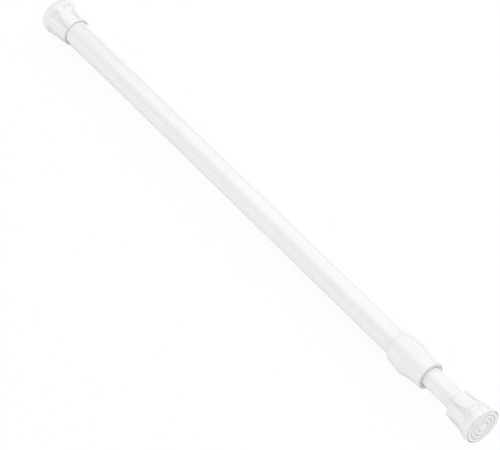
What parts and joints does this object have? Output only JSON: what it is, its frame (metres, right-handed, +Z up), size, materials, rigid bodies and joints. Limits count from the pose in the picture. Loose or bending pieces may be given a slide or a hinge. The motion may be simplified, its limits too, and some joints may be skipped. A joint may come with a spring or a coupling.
{
  "type": "spring tension rod",
  "caption": "Telescopic tension rod with fluted round end caps, ringed feet, a barrel collar, a twist lock and an inner compression spring.",
  "frame": {"origin": "centre of the fixed end's ringed foot face, where it bears on the wall", "axes": "+X along the rod from the fixed foot to the sliding foot, +Z up as the rod hangs level between two walls"},
  "size_m": [0.408, 0.023, 0.023],
  "materials": {
    "coated_tube": "smooth white powder coat, satin gloss",
    "cap_plastic": "white moulded plastic, semi-gloss",
    "collar_plastic": "white moulded plastic, semi-gloss",
    "foot_pad": "soft white rubber, matte",
    "guide_nylon": "natural nylon, matte",
    "lock_nylon": "natural nylon, matte",
    "plated_steel": "bright zinc plate",
    "spring_steel": "drawn spring wire"
  },
  "bodies": {
    "outer": {"fixed_end_pad": "foot_pad", "fixed_end_cap": "cap_plastic", "outer_tube": "coated_tube", "joint_collar": "collar_plastic", "collar_guide_ring": "guide_nylon"},
    "slider": {"slide_ring": "lock_nylon"},
    "inner": {"inner_tube": "coated_tube", "guide_bush": "guide_nylon", "spring_stop": "guide_nylon", "compression_spring": "spring_steel", "cap_adapter": "collar_plastic", "sliding_end_cap": "cap_plastic", "sliding_end_pad": "foot_pad"},
    "lock": {"lock_sleeve": "lock_nylon", "jaw_ring": "spring_steel"},
    "spindle": {"spindle": "plated_steel", "spindle_end_stop": "plated_steel", "thrust_washer": "plated_steel", "spring_seat": "guide_nylon", "spring_washer": "plated_steel"},
    "wedge": {"wedge_nut": "lock_nylon"}
  },
  "joints": [
    {"name": "length_slide", "type": "slide", "parent": "outer", "child": "slider", "axis": [1, 0, 0], "range_m": [-0.024, 0.22]},
    {"name": "lock_twist", "type": "hinge", "parent": "slider", "child": "inner", "pos_m": [0.0964, 0, 0], "axis": [1, 0, 0], "range_deg": [0, 720]},
    {"name": "spring_press", "type": "slide", "parent": "slider", "child": "lock", "axis": [1, 0, 0], "range_m": [0, 0.018], "stiffness_N_per_m": 1200, "springref_m": -0.01, "deforming": ["compression_spring"]},
    {"name": "spindle_turn", "type": "hinge", "parent": "lock", "child": "spindle", "pos_m": [0.06, 0, 0], "axis": [1, 0, 0], "range_deg": [0, 720]},
    {"name": "wedge_travel", "type": "slide", "parent": "lock", "child": "wedge", "axis": [1, 0, 0], "range_m": [-0.0016, 0]}
  ],
  "couplings": [
    {"joint": "spindle_turn", "follows": "lock_twist", "ratio": 1},
    {"joint": "wedge_travel", "follows": "lock_twist", "m_per_rad": -0.000127}
  ]
}
